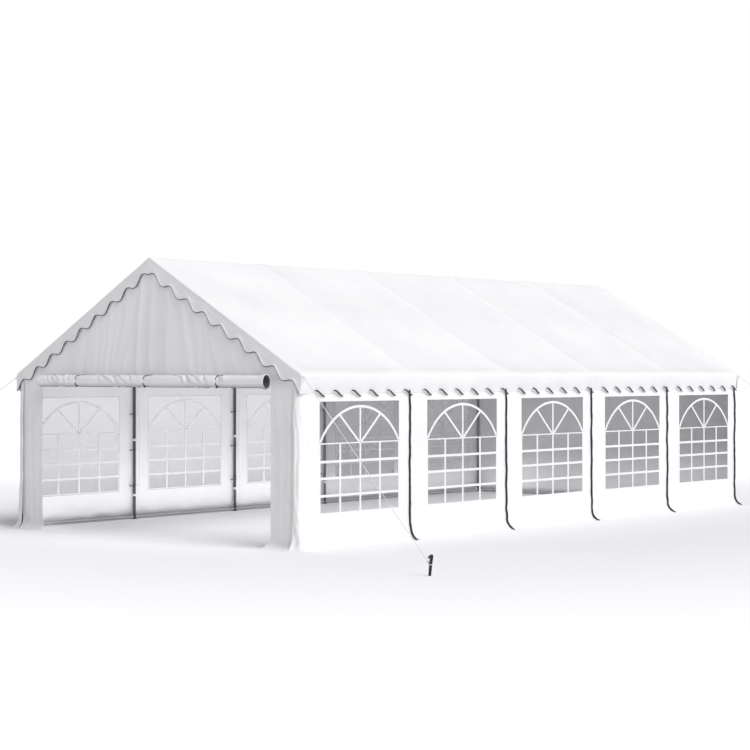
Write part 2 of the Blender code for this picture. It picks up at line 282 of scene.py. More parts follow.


# the rolled door's sheet with painted shade: its colour is scaled darker towards the roll's underside, standing in for
# the shade there
def rolledSheetPaintedShade():
    made = coatedSheet("rolledSheetPaintedShade", (0.82, 0.82, 0.825), (0.87, 0.87, 0.873))
    tree = made.node_tree
    shader = tree.nodes["Principled BSDF"]
    color = shader.inputs["Base Color"].links[0].from_socket
    shade = tree.nodes.new("ShaderNodeVectorMath")
    shade.operation = "SCALE"
    tree.links.new(color, shade.inputs[0])
    # painted shade: colour scaled down to 0.45 between z 1.93 and the underside at 1.878
    tree.links.new(addHeight(tree, 1.878, 1.93, 0.45, 1.0), shade.inputs["Scale"])
    tree.links.new(shade.outputs["Vector"], shader.inputs["Base Color"])
    return made


def powderCoat():
    made, tree, shader = startMaterial("powderCoat", (0.06, 0.062, 0.066), 0.4)
    place = coordsOf(tree, "Object")
    addTint(tree, addNoise(tree, place, 14, 4), shader, (0.05, 0.052, 0.056), (0.075, 0.077, 0.082))
    tree.links.new(addRange(tree, addNoise(tree, place, 30, 3), 0.32, 0.48), shader.inputs["Roughness"])
    addBump(tree, shader, addNoise(tree, place, 700, 2), 0.0002)
    return made


def twistedCord(name, dark, light, roughness, scale):
    made, tree, shader = startMaterial(name, light, roughness)
    place = coordsOf(tree, "Object")
    addTint(tree, addNoise(tree, place, 60, 2), shader, dark, light)
    strands = addMath(tree, "ADD", addBands(tree, place, scale, "DIAGONAL"), addBands(tree, place, scale * 0.7, "Z"))
    addBump(tree, shader, strands, 0.0006)
    shader.inputs["Sheen Weight"].default_value = 0.15
    return made


def wovenTape():
    made, tree, shader = startMaterial("wovenTape", (0.78, 0.78, 0.77), 0.75)
    place = coordsOf(tree, "Object")
    addTint(tree, addNoise(tree, place, 25, 3), shader, (0.72, 0.72, 0.71), (0.82, 0.82, 0.81))
    ribs = addMath(tree, "MULTIPLY", addBands(tree, place, 160, "X"), addBands(tree, place, 160, "Z"))
    addBump(tree, shader, ribs, 0.0004)
    return made


def mouldedPlastic(name, dark, light):
    made, tree, shader = startMaterial(name, light, 0.42)
    place = coordsOf(tree, "Object")
    addTint(tree, addNoise(tree, place, 40, 3), shader, dark, light)
    tree.links.new(addRange(tree, addNoise(tree, place, 55, 3), 0.34, 0.55), shader.inputs["Roughness"])
    addBump(tree, shader, addNoise(tree, place, 450, 2), 0.0003)
    return made


def brightMetal():
    made, tree, shader = startMaterial("brightMetal", (0.62, 0.62, 0.63), 0.32)
    place = coordsOf(tree, "Object")
    tree.links.new(addRange(tree, addNoise(tree, place, 120, 3), 0.24, 0.42), shader.inputs["Roughness"])
    shader.inputs["Metallic"].default_value = 1.0
    return made


finishes = {
    "sheet": coatedSheet("coatedSheet", (0.82, 0.82, 0.83), (0.87, 0.87, 0.875)),
    "hem": coatedSheet("weldedHem", (0.80, 0.80, 0.81), (0.85, 0.85, 0.855), 0.0002),
    # painted light and shade: the left-hand film is a little more opaque low down
    "film": clearFilm("clearFilm", (0.40, 0.40, 0.43), 1.5, 0.36, 0.25),
    # painted shade: a darker copy of the film for the right-hand windows, more opaque higher up
    "filmPaintedShade": clearFilm("filmPaintedShade", (0.10, 0.10, 0.11), 1.0, 0.10, 0.38),
    # painted shade: the rolled door's sheet, darkened towards its underside
    "rolled": rolledSheetPaintedShade(),
    "pale": mouldedPlastic("paleCoat", (0.56, 0.56, 0.57), (0.64, 0.64, 0.65)),
    "steel": powderCoat(),
    # painted shade: a near-black cord colour, used where shade lines fall under the valance hems and under the roll
    "shadeCord": coatedSheet("greyPiping", (0.05, 0.05, 0.052), (0.08, 0.08, 0.084)),
    "lacing": twistedCord("blackLacing", (0.008, 0.008, 0.009), (0.016, 0.016, 0.017), 0.7, 60),
    "rope": twistedCord("whiteRope", (0.76, 0.76, 0.74), (0.86, 0.86, 0.85), 0.8, 90),
    "strap": wovenTape(),
    "peg": mouldedPlastic("blackPlastic", (0.006, 0.006, 0.007), (0.012, 0.012, 0.013)),
    "toggle": mouldedPlastic("whitePlastic", (0.82, 0.82, 0.81), (0.9, 0.9, 0.89)),
    "metal": brightMetal(),
    # painted shade: dark grey for the liner inside the roll's open end
    "shadeLiner": coatedSheet("paintedShadeLining", (0.10, 0.10, 0.104), (0.15, 0.15, 0.155)),
}
print("materials made")


# shared ways of making pieces

def freshStart():
    if bpy.context.object and bpy.context.object.mode != "OBJECT":
        bpy.ops.object.mode_set(mode="OBJECT")
    bpy.ops.object.select_all(action="DESELECT")


def pickOnly(piece):
    freshStart()
    piece.select_set(True)
    bpy.context.view_layer.objects.active = piece


def settle(piece, name, finish, smooth=40):
    pickOnly(piece)
    bpy.ops.object.transform_apply(location=True, rotation=True, scale=True)
    piece.name = piece.data.name = name
    piece.data.materials.clear()
    piece.data.materials.append(finishes[finish])
    bpy.ops.object.shade_smooth_by_angle(angle=math.radians(smooth))
    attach(piece, "root")
    return piece


def applyModifier(piece, kind, **values):
    pickOnly(piece)
    step = piece.modifiers.new(kind.title(), kind)
    for key, value in values.items():
        setattr(step, key, value)
    bpy.ops.object.modifier_apply(modifier=step.name)


def selectFaces(piece, wanted):
    bpy.ops.object.mode_set(mode="EDIT")
    bpy.ops.mesh.select_mode(type="FACE")
    bpy.ops.mesh.select_all(action="DESELECT")
    bpy.ops.object.mode_set(mode="OBJECT")
    for face in piece.data.polygons:
        face.select = bool(wanted(face))
    bpy.ops.object.mode_set(mode="EDIT")


def joinPieces(pieces):
    pickOnly(pieces[0])
    for piece in pieces:
        piece.select_set(True)
    if len(pieces) > 1:
        bpy.ops.object.join()
    return bpy.context.object


def copyPiece(piece, move):
    twin = piece.copy()
    twin.data = piece.data.copy()
    bpy.context.collection.objects.link(twin)
    twin.data.transform(move)
    return twin


# turns a mirrored mesh's faces out again
def faceOut(piece):
    pickOnly(piece)
    bpy.ops.object.mode_set(mode="EDIT")
    bpy.ops.mesh.select_all(action="SELECT")
    bpy.ops.mesh.normals_make_consistent(inside=False)
    bpy.ops.object.mode_set(mode="OBJECT")


# places along one side of a cloth, from runs of (start, end, number of gaps)
def runStops(*runs):
    found = []
    for start, end, count in runs:
        found.extend(np.linspace(start, end, count, endpoint=False))
    found.append(runs[-1][1])
    return np.array(found)


# smooth wandering waves for soft wrinkles, about 1 high, fixed for each seed
def wander(x, y, size, seed):
    luck = np.random.default_rng(seed)
    total = np.zeros_like(x)
    for turn in range(7):
        heading = luck.uniform(0, math.pi)
        pace = luck.uniform(0.6, 1.7) / size
        start = luck.uniform(0, 2 * math.pi)
        total += np.sin(2 * math.pi * pace * (x * math.cos(heading) + y * math.sin(heading)) + start)
    return total / 3.0


# soft folds that run down the cloth: rounded crests with narrow valleys
def downFolds(x, y, size, seed, lean=0.12):
    drift = x + lean * size * wander(x * 0.3, y, size * 6, seed + 5)
    wave = np.sin(2 * math.pi * drift / size + 1.7 * wander(x, y * 0.25, size * 3, seed))
    return 1 - np.abs(wave) ** 0.7


def easeStep(value):
    share = np.clip(value, 0, 1)
    return share * share * (3 - 2 * share)


# a cloth is a grid whose points are moved to where place() puts that spot of the flat sheet
def sewSheet(name, across, along, place, outward, finish="sheet", thick=None, holes=()):
    freshStart()
    bpy.ops.mesh.primitive_grid_add(x_subdivisions=len(across) - 1, y_subdivisions=len(along) - 1, size=2)
    cloth = bpy.context.object
    mesh = cloth.data
    spots = np.empty(len(mesh.vertices) * 3)
    mesh.vertices.foreach_get("co", spots)
    spots = spots.reshape(-1, 3)
    a = across[np.rint((spots[:, 0] + 1) / 2 * (len(across) - 1)).astype(int)]
    b = along[np.rint((spots[:, 1] + 1) / 2 * (len(along) - 1)).astype(int)]
    mesh.vertices.foreach_set("co", np.stack(place(a, b), axis=1).ravel())
    corners = np.empty(len(mesh.loops), dtype=int)
    mesh.loops.foreach_get("vertex_index", corners)
    mesh.uv_layers.active.data.foreach_set("uv", np.stack([a[corners], b[corners]], axis=1).ravel())
    mesh.update()
    tilt = sum((face.normal * face.area for face in mesh.polygons), Vector())
    if holes:
        inHole = set()
        for face in mesh.polygons:
            middle = (a[list(face.vertices)].mean(), b[list(face.vertices)].mean())
            if any(low[0] < middle[0] < high[0] and low[1] < middle[1] < high[1] for low, high in holes):
                inHole.add(face.index)
        selectFaces(cloth, lambda face: face.index in inHole)
        bpy.ops.mesh.delete(type="FACE")
        bpy.ops.object.mode_set(mode="OBJECT")
    if tilt.dot(Vector(outward)) < 0:
        bpy.ops.object.mode_set(mode="EDIT")
        bpy.ops.mesh.select_all(action="SELECT")
        bpy.ops.mesh.flip_normals()
        bpy.ops.object.mode_set(mode="OBJECT")
    applyModifier(cloth, "SOLIDIFY", thickness=thick or tent["cloth"], offset=-1.0, use_even_offset=False)
    return settle(cloth, name, finish, smooth=50)


# cords, tapes and bindings: one smooth line each, as thick as its radii say, all in one mesh
def layCords(name, lines, finish, sides=3):
    freshStart()
    curve = bpy.data.curves.new(name, "CURVE")
    curve.dimensions = "3D"
    curve.bevel_depth = 1.0
    curve.bevel_resolution = sides
    curve.use_fill_caps = True
    for points, radii in lines:
        line = curve.splines.new("POLY")
        line.points.add(len(points) - 1)
        for spot, place, radius in zip(line.points, points, radii):
            spot.co = (*place, 1)
            spot.radius = radius
    cord = bpy.data.objects.new(name, curve)
    bpy.context.collection.objects.link(cord)
    pickOnly(cord)
    bpy.ops.object.convert(target="MESH")
    cord = bpy.context.object
    return settle(cord, name, finish, smooth=60)


def evenLine(points, count):
    points = np.array(points, float)
    runs = np.concatenate([[0], np.cumsum(np.linalg.norm(np.diff(points, axis=0), axis=1))])
    marks = np.linspace(0, runs[-1], count)
    return np.stack([np.interp(marks, runs, points[:, axis]) for axis in range(3)], axis=1)


# a rounded path through a few points
def softLine(points, count, rounds=3):
    points = [np.array(point, float) for point in points]
    for turn in range(rounds):
        cut = [points[0]]
        for here, there in zip(points, points[1:]):
            cut.append(here * 0.75 + there * 0.25)
            cut.append(here * 0.25 + there * 0.75)
        cut.append(points[-1])
        points = cut
    return evenLine(points, count)


# roof cover

roofSheet = {
    "rafterRise": 0.009,
    "nearDrop": 0.009,
    "nearFade": 0.07,
    "farDrop": 0.006,
    "farFade": 0.35,
    "sag": 0.016,
    "purlin": 1.4215,
    "rounding": 0.024,
    "edgeRound": 0.028,
    "poleFromEave": 0.10,
    "dip": 0.024,
    "dipReach": 0.24,
    "wrinkle": 0.0007,
    "stitchPitch": 0.324,
    "hemTuck": 0.0115,
    "cornerFlare": 0.028,
}


# spot on the cross section at a distance along the cloth from the ridge
def roofLine(run):
    knots = [-slopeRun - skirtRun, -slopeRun, 0, slopeRun, slopeRun + skirtRun]
    xs = [-tent["skirtHem"][0], -tent["eave"][0], 0, tent["eave"][0], tent["skirtHem"][0]]
    zs = [tent["skirtHem"][1], tent["eave"][1], tent["ridge"], tent["eave"][1], tent["skirtHem"][1]]
    x, z = np.zeros_like(run), np.zeros_like(run)
    steps = np.linspace(-roofSheet["rounding"], roofSheet["rounding"], 9)
    for step in steps:
        at = np.clip(run + step, knots[0], knots[-1])
        x += np.interp(at, knots, xs) / len(steps)
        z += np.interp(at, knots, zs) / len(steps)
    return x, z


def roofLift(y, run):
    near = np.min(np.abs(y[:, None] - np.array(tent["rafters"])), axis=1)
    soft = np.sqrt(near**2 + 0.014**2) - 0.014
    bayShare = np.mod(y + 5, tent["bay"]) / tent["bay"]
    fromRidge = np.abs(run)
    between = np.where(fromRidge < 2 * roofSheet["purlin"], np.sin(math.pi * fromRidge / roofSheet["purlin"]) ** 2, 0)
    onSkirt = easeStep((fromRidge - slopeRun + 0.02) / (skirtRun * 0.6))
    lift = roofSheet["rafterRise"] - roofSheet["nearDrop"] * (1 - np.exp(-soft / roofSheet["nearFade"]))
    lift -= roofSheet["farDrop"] * (1 - np.exp(-soft / roofSheet["farFade"]))
    lift -= roofSheet["sag"] * between * 4 * bayShare * (1 - bayShare)
    lift += roofSheet["wrinkle"] * wander(y, run, 0.5, 11)
    lift *= 1 - 0.85 * onSkirt
    pull = 0.5 - 0.5 * np.cos(2 * math.pi * (y + 4.693) / roofSheet["stitchPitch"])
    lift += onSkirt * (0.002 * pull + 0.0006 * wander(y, run, 0.16, 12))
    edge = tent["roofEnd"] - np.abs(y)
    hemShare = easeStep((fromRidge - slopeRun - 0.06) / (skirtRun - 0.06))
    lift += hemShare * (roofSheet["cornerFlare"] * np.exp(-((edge / 0.09) ** 2)) - roofSheet["hemTuck"])
    over = np.clip(1 - edge / roofSheet["edgeRound"], 0, 1)
    lift -= roofSheet["edgeRound"] * (1 - np.sqrt(1 - 0.96 * over**2))
    lift -= 0.003 * np.exp(-(((edge - 0.06) / 0.014) ** 2))
    uphill = np.maximum(slopeRun - roofSheet["poleFromEave"] - fromRidge, 0) / roofSheet["dipReach"]
    lift -= roofSheet["dip"] * uphill * np.exp(1 - uphill) * (1 - np.abs(2 * bayShare - 1) ** 5)
    return lift


def roofPlace(y, run):
    x, z = roofLine(run)
    ahead, behind = roofLine(run + 0.01), roofLine(run - 0.01)
    alongX, alongZ = ahead[0] - behind[0], ahead[1] - behind[1]
    long = np.hypot(alongX, alongZ)
    lift = roofLift(y, run)
    return x - alongZ / long * lift, y, z + alongX / long * lift


def makeRoof():
    end = tent["roofEnd"]
    yRuns = [(-end, -end + 0.05, 10)]
    for here, there in zip(tent["rafters"], tent["rafters"][1:]):
        start = max(here - 0.10, -end + 0.05)
        yRuns += [(start, here + 0.10, 12), (here + 0.10, there - 0.10, 26)]
    yRuns += [(tent["rafters"][-1] - 0.10, end - 0.05, 8), (end - 0.05, end, 10)]
    half = [(0, 0.05, 4), (0.05, slopeRun - 0.55, 32), (slopeRun - 0.55, slopeRun - 0.15, 14),
            (slopeRun - 0.15, slopeRun - 0.07, 6), (slopeRun - 0.07, slopeRun + 0.05, 12),
            (slopeRun + 0.05, slopeRun + skirtRun, 9)]
    side = runStops(*half)
    across = np.concatenate([-side[::-1], side[1:]])
    roof = sewSheet("roofSheet", runStops(*yRuns), across, roofPlace, (0, 0, 1))
    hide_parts("roof_cover")


makeRoof()
print("roof cover sewn")


# scalloped valances at both ends

valance = {
    "pitch": 0.2888,
    "crest": 3.278,
    "stepFrom": 0.1055,
    "steepShare": 0.50,
    "ripple": 0.0055,
    "bind": 0.0052,
    # painted shade: size of the dark cord under the hem and how far below the hem it lies
    "shadeCord": 0.0058,
    "shadeCordDrop": 0.0095,
    "topDrop": 0.022,
    "standOff": 0.014,
    "hemHalf": 2.54,
}


def roofHeight(x):
    return tent["ridge"] - roofPitch * np.abs(x)


# the hem goes down in soft steps, level or a little up and then steeply down
def hemHeight(x):
    steps = (np.abs(x) - valance["stepFrom"]) / valance["pitch"]
    whole = np.floor(steps)
    share = steps - whole
    fallen = easeStep(share / valance["steepShare"])
    level = np.clip((share - valance["steepShare"]) / (1 - valance["steepShare"]), 0, 1)
    fall = roofPitch * valance["pitch"] * (whole + fallen)
    return valance["crest"] - fall - valance["ripple"] * np.sin(2 * math.pi * level)


def makeValance(name, node, sign):
    topHalf, hemHalf = tent["eave"][0], valance["hemHalf"]
    face = tent["roofEnd"] + 0.002

    def place(x, down):
        drawn = x * (1 - down * (1 - hemHalf / topHalf))
        top = roofHeight(x) - valance["topDrop"]
        z = top * (1 - down) + hemHeight(drawn) * down
        out = valance["standOff"] * down**1.5 + 0.003 * down * wander(x, down, 0.35, 21 + sign)
        return drawn, sign * (face + out), z

    columns = np.linspace(-topHalf, topHalf, 18 * 24 + 1)
    cloth = sewSheet(name, columns, np.linspace(0, 1, 13), place, (0, sign, 0), finish="hem")
    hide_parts(node)
    x = np.linspace(-hemHalf, hemHalf, 18 * 24)
    px, py, pz = place(x * topHalf / hemHalf, np.ones_like(x))
    line = np.stack([px, py - sign * tent["cloth"] / 2, pz], axis=1)
    binding = layCords(name + "Binding", [(line, np.full(len(line), valance["bind"]))], "hem", sides=2)
    # painted shade: a dark cord set just under the hem binding stands in for the hem's contact shadow on the gable
    runX, runZ = np.gradient(px), np.gradient(pz)
    long = np.hypot(runX, runZ)
    drop = valance["shadeCordDrop"]
    under = line + np.stack([drop * runZ / long, np.full(len(x), -sign * 0.003), -drop * runX / long], axis=1)
    shadeCord = layCords(name + "Piping", [(under, np.full(len(under), valance["shadeCord"]))], "shadeCord", sides=1)


makeValance("frontValance", "front_valance", -1)
makeValance("backValance", "back_valance", 1)
print("valances sewn")


# gable sheets and the closed back wall

gable = {"low": 1.945, "fold": 0.014, "half": 2.502}


def makeGable(name, node, sign, seed):
    def place(x, share):
        top = roofHeight(x) - 0.012
        z = gable["low"] + share * (top - gable["low"])
        calm = easeStep((top - z) / 0.25) * easeStep((z - gable["low"]) / 0.12) * easeStep((gable["half"] - np.abs(x)) / 0.3)
        spread = x * (1 + 0.30 * (z - gable["low"])) + 0.10 * z
        patchy = easeStep(0.5 + 0.9 * wander(x, z * 0.3, 1.1, seed + 3))
        folds = (0.25 + 0.75 * patchy) * downFolds(spread, z, 0.62, seed)
        folds += (1 - 0.8 * patchy) * downFolds(spread, z, 0.29, seed + 1, 0.25) * 0.45
        out = gable["fold"] * calm * folds + 0.0006 * wander(x, z, 0.12, seed + 2)
        return x, sign * (tent["endY"] + out - 0.001), z

    cloth = sewSheet(name, np.linspace(-gable["half"], gable["half"], 181), np.linspace(0, 1, 61), place, (0, sign, 0))
    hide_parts(node)


makeGable("frontGable", "front_gable", -1, 31)
makeGable("backGable", "back_gable", 1, 41)


# out and height of an upright sheet's spot, whose lower edge turns out onto the ground
def hangLine(down, top, bend, reach):
    turnRun = 0.5 * (bend + reach) + 0.5 * math.hypot(bend, reach)
    share = np.clip((down - (top - bend)) / turnRun, 0, 1)
    z = np.where(share > 0, bend * (1 - share) ** 2, top - down)
    return reach * share**2, z, turnRun


def makeBackWall():
    top, bend, reach = 1.943, 0.12, 0.2
    turnRun = hangLine(np.zeros(1), top, bend, reach)[2]

    def place(x, down):
        out, z, run = hangLine(down, top, bend, reach)
        calm = easeStep(down / 0.3) * easeStep((gable["half"] - np.abs(x)) / 0.25)
        folds = 0.006 * calm * downFolds(x, z, 0.5, 51) + 0.003 * calm * downFolds(x, z, 0.21, 52)
        flap = easeStep((0.2 - z) / 0.2)
        out = out + folds + 0.012 * flap * wander(x, z, 0.6, 53)
        return x, tent["endY"] + out, np.maximum(z, 0.002) + 0.004 * flap * (1 + wander(x, z, 0.3, 54)) * (z > 0.004)

    rows = runStops((0, top - bend, 44), (top - bend, top - bend + turnRun, 12))
    wall = sewSheet("backWallSheet", np.linspace(-gable["half"], gable["half"], 161), rows, place, (0, 1, 0))
    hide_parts("back_wall")


makeBackWall()
print("end sheets sewn")


# strips beside the front doorway, tucked behind the side walls' wrapped edges

doorStrip = {
    "doorEdges": (-2.04, 2.065),
    "crease": 2.425,
    "tuck": 0.018,
    "footKick": 0.055,
}


def makeStrip(name, node, sign):
    inner = abs(doorStrip["doorEdges"][0 if sign < 0 else 1])
    total = doorStrip["crease"] + doorStrip["tuck"] - inner
    top, bend, reach = 1.943, 0.11, 0.16

    def place(a, down):
        out, z, run = hangLine(down, top, bend, reach)
        toCrease = doorStrip["crease"] - inner - a
        flat = easeStep(toCrease / 0.10) * easeStep(down / 0.25)
        push = 0.005 * flat * downFolds(a, z, 0.26, 61) + 0.003 * flat * (1 + wander(a, z, 0.3, 62))
        push -= 0.016 * np.exp(-((toCrease / 0.016) ** 2)) * easeStep(down / 0.15)
        low = easeStep((0.36 - z) / 0.36)
        push += 0.007 * low * wander(a, z, 0.22, 63)
        kick = doorStrip["footKick"] * easeStep((0.17 - z) / 0.17) * np.exp(-((a / 0.12) ** 2))
        return sign * (inner + a - kick), -(tent["endY"] + out + push), np.maximum(z, 0.002)

    columns = runStops((0, total - 0.09, 26), (total - 0.09, total, 16))
    rows = runStops((0, top - 0.34, 40), (top - 0.34, top - bend, 10),
                    (top - bend, top - bend + hangLine(np.zeros(1), top, bend, reach)[2], 12))
    strip = sewSheet(name, columns, rows, place, (0, -1, 0))
    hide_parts(node)


makeStrip("frontStripLeft", "front_strip_left", -1)
makeStrip("frontStripRight", "front_strip_right", 1)
print("door strips sewn")


# side walls, one laced panel a bay, with a window opening each

sidePanel = {
    "windowWide": 1.45,
    "windowLow": 0.394,
    "windowHigh": 1.713,
    "startRight": 0.36,
    "startLeft": 0.283,
    "bend": 0.15,
    "reach": 0.20,
    "edgeGap": 0.002,
    "cornerRound": 0.050,
    "cornerProud": 0.010,
}


# spot on a side panel: a is measured along the wall, down from its top edge
def panelSpot(sign, index, a, down):
    start = sidePanel["startRight"] if sign > 0 else sidePanel["startLeft"]
    seam = -5 + tent["bay"] * index
    windowFront, windowBack = seam + start, seam + start + sidePanel["windowWide"]
    seed = 100 + 10 * index + (5 if sign > 0 else 0)
    out, z, run = hangLine(down, tent["wallTop"], sidePanel["bend"], sidePanel["reach"])
    aside = np.maximum(np.maximum(windowFront - a, a - windowBack), 0)
    below = np.maximum(np.maximum(sidePanel["windowLow"] - z, z - sidePanel["windowHigh"]), 0)
    free = easeStep((np.hypot(aside, below) - 0.01) / 0.12) * easeStep((down - 0.19) / 0.2)
    fromSeam = a - seam
    toSeam = seam + tent["bay"] - a
    pleats = np.exp(-((fromSeam / 0.15) ** 2)) + 0.5 * np.exp(-((toSeam / 0.08) ** 2))
    push = 0.006 * free * pleats * (1 + np.sin(fromSeam * 78 + 1.5 * wander(z, a, 0.7, seed)))
    push += 0.0035 * free * (1 + wander(a, z, 0.4, seed + 1))
    low = easeStep((0.40 - z) / 0.40)
    push += low * (0.010 * (1 + wander(a, z * 2, 0.45, seed + 2)))
    tip = np.exp(-((fromSeam / 0.10) ** 2))
    out = out * (1 + 0.16 * tip + 0.05 * wander(a, z * 0, 0.5, seed + 3)) + push
    height = np.where(z > 0.003, z + 0.10 * z * low * tip, 0.002)
    if index > 0:
        return sign * (tent["wallX"] + out), a, np.maximum(height, 0.002)

    # the first panel turns the front corner and its flap fans out there
    corner = sidePanel["cornerRound"]
    turnFrom = corner - tent["endY"] - sidePanel["cornerProud"]
    turn = np.clip((turnFrom - a) / corner, 0, math.pi / 2)
    past = np.maximum(turnFrom - a - corner * math.pi / 2, 0)
    nearCorner = np.exp(-(((a - turnFrom + 0.03) / 0.11) ** 2))
    fan = easeStep((0.85 - z) / 0.85) * nearCorner
    out = out * (1 - 0.45 * np.sin(turn)) + 0.013 * fan * (1 + np.sin(fromSeam * 75 + 5 * z))
    out += 0.004 * nearCorner * easeStep(down / 0.3) * (1 + np.sin(fromSeam * 120 + 2 * wander(z, a, 0.5, seed + 4)))
    reachOut = corner + out
    x = tent["wallX"] - corner + reachOut * np.cos(turn) - past
    y = np.maximum(a, turnFrom) - reachOut * np.sin(turn)
    return sign * x, y, np.maximum(height, 0.002)


def makePanel(side, index):
    sign = 1 if side == "right" else -1
    start = sidePanel["startRight"] if side == "right" else sidePanel["startLeft"]
    seam = -5 + tent["bay"] * index
    corner = sidePanel["cornerRound"]
    front = seam + sidePanel["edgeGap"]
    if index == 0:
        wrap = tent["wallX"] - corner - doorStrip["crease"]
        front = corner * (1 - math.pi / 2) - tent["endY"] - sidePanel["cornerProud"] - wrap
    back = min(seam + tent["bay"] - sidePanel["edgeGap"], 4.996)
    windowFront, windowBack = seam + start, seam + start + sidePanel["windowWide"]
    top, bend = tent["wallTop"], sidePanel["bend"]
    turnRun = hangLine(np.zeros(1), top, bend, sidePanel["reach"])[2]

    columns = runStops((front, seam + 0.16, 16 if index else 30), (seam + 0.16, windowFront, 5),
                       (windowFront, windowBack, 26), (windowBack, back, 10))
    rows = runStops((0, top - sidePanel["windowHigh"], 8), (top - sidePanel["windowHigh"], top - sidePanel["windowLow"], 26),
                    (top - sidePanel["windowLow"], top - bend, 12), (top - bend, top - bend + turnRun, 14))
    hole = ((windowFront, top - sidePanel["windowHigh"]), (windowBack, top - sidePanel["windowLow"]))
    panel = sewSheet("%sPanel%d" % (side, index + 1), columns, rows,
                     lambda a, down: panelSpot(sign, index, a, down), (sign, 0, 0), holes=[hole])
    nodes = ["side_wall_%s_%d" % (side, index + 1)]
    if index == 0:
        nodes.append("ground_flap_" + side)
    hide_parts(*nodes)
    makeFilm(side, index, sign, (windowFront + windowBack) / 2)


def makeFilm(side, index, sign, middle):
    lap = 0.005
    half = sidePanel["windowWide"] / 2 + lap
    low, high = sidePanel["windowLow"] - lap, sidePanel["windowHigh"] + lap

    def place(y, z):
        rim = np.minimum(half - np.abs(y - middle), np.minimum(z - low, high - z))
        bulge = 0.0004 * easeStep((rim - lap) / 0.1) * wander(y, z, 0.5, 300 + index)
        return sign * (tent["wallX"] - 0.0022 + bulge), y, z

    film = sewSheet("%sFilm%d" % (side, index + 1), np.linspace(middle - half, middle + half, 31),
                    np.linspace(low, high, 27), place, (sign, 0, 0),
                    finish="film" if sign < 0 else "filmPaintedShade", thick=0.0006)
    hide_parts("window_%s_%d" % (side, index + 1))


for side in ("left", "right"):
    for index in range(tent["bays"]):
        makePanel(side, index)
print("side walls sewn")


# white window bars: a grid of 16 panes below a fan with an arch

windowBars = {
    "wide": 1.42,
    "rowLines": (0.394, 0.609, 0.812, 1.007, 1.212),
    "bar": 0.030,
    "thick": 0.0062,
    "archRadius": 0.835,
    "archCentre": 0.831,
    "spokeSpread": 0.375,
}


def makeBars():
    low, high = windowBars["rowLines"][0], windowBars["rowLines"][-1]
    freshStart()
    bpy.ops.mesh.primitive_grid_add(x_subdivisions=4, y_subdivisions=4, size=1, rotation=(math.radians(90), 0, math.radians(90)))
    grid = bpy.context.object
    bpy.ops.object.transform_apply(location=True, rotation=True, scale=True)
    for spot in grid.data.vertices:
        row = round((spot.co.z + 0.5) * 4)
        spot.co = (0, spot.co.y * (windowBars["wide"] + windowBars["bar"]), windowBars["rowLines"][row])
        if row == 4:
            spot.co.z += windowBars["bar"] / 2
    bpy.ops.object.mode_set(mode="EDIT")
    bpy.ops.mesh.select_all(action="SELECT")
    bpy.ops.mesh.inset(thickness=windowBars["bar"] / 2, use_boundary=True, use_individual=True)
    bpy.ops.mesh.delete(type="FACE")
    bpy.ops.object.mode_set(mode="OBJECT")
    applyModifier(grid, "SOLIDIFY", thickness=windowBars["thick"], offset=0)

    # the arch is one short slice spun about its centre
    outer, inner = windowBars["archRadius"], windowBars["archRadius"] - windowBars["bar"]
    spread = math.asin(sidePanel["windowWide"] / 2 / outer)
    freshStart()
    bpy.ops.mesh.primitive_plane_add(size=1, rotation=(0, math.radians(90), 0))
    arch = bpy.context.object
    bpy.ops.object.transform_apply(location=True, rotation=True, scale=True)
    for spot in arch.data.vertices:
        radius = outer if spot.co.z > 0 else inner
        angle = -spread if spot.co.y < 0 else -spread + 0.04
        spot.co = (0, radius * math.sin(angle), windowBars["archCentre"] + radius * math.cos(angle))
    bpy.ops.object.mode_set(mode="EDIT")
    bpy.ops.mesh.select_mode(type="EDGE")
    bpy.ops.mesh.select_all(action="DESELECT")
    bpy.ops.object.mode_set(mode="OBJECT")
    for spot in arch.data.vertices:
        spot.select = math.atan2(spot.co.y, spot.co.z - windowBars["archCentre"]) > -spread + 0.02
    for edge in arch.data.edges:
        edge.select = all(arch.data.vertices[corner].select for corner in edge.vertices)
    bpy.ops.object.mode_set(mode="EDIT")
    bpy.ops.mesh.spin(steps=44, angle=2 * spread - 0.04, center=(0, 0, windowBars["archCentre"]), axis=(1, 0, 0))
    bpy.ops.object.mode_set(mode="OBJECT")
    applyModifier(arch, "SOLIDIFY", thickness=windowBars["thick"] * 1.1, offset=0)

    spokes = []
    foot = windowBars["rowLines"][-1]
    reach = windowBars["archRadius"] - windowBars["bar"] / 2
    for aside in (-windowBars["spokeSpread"], 0, windowBars["spokeSpread"]):
        tip = windowBars["archCentre"] + math.sqrt(reach**2 - aside**2)
        length = math.hypot(aside, tip - foot)
        freshStart()
        bpy.ops.mesh.primitive_cube_add(size=1, location=(0, 0, foot + length / 2))
        spoke = bpy.context.object
        bpy.ops.object.mode_set(mode="EDIT")
        bpy.ops.mesh.select_all(action="SELECT")
        bpy.ops.transform.resize(value=(windowBars["thick"] * 0.9, windowBars["bar"] * 0.9, length))
        bpy.ops.object.mode_set(mode="OBJECT")
        bpy.ops.object.transform_apply(location=True, rotation=True, scale=True)
        lean = Matrix.Translation((0, 0, foot)) @ Matrix.Rotation(-math.atan2(aside, tip - foot), 4, "X")
        spoke.data.transform(lean @ Matrix.Translation((0, 0, -foot)))
        spokes.append(spoke)
    bars = joinPieces([grid, arch] + spokes)
    applyModifier(bars, "BEVEL", width=0.0008, segments=1, limit_method="ANGLE")
    return bars


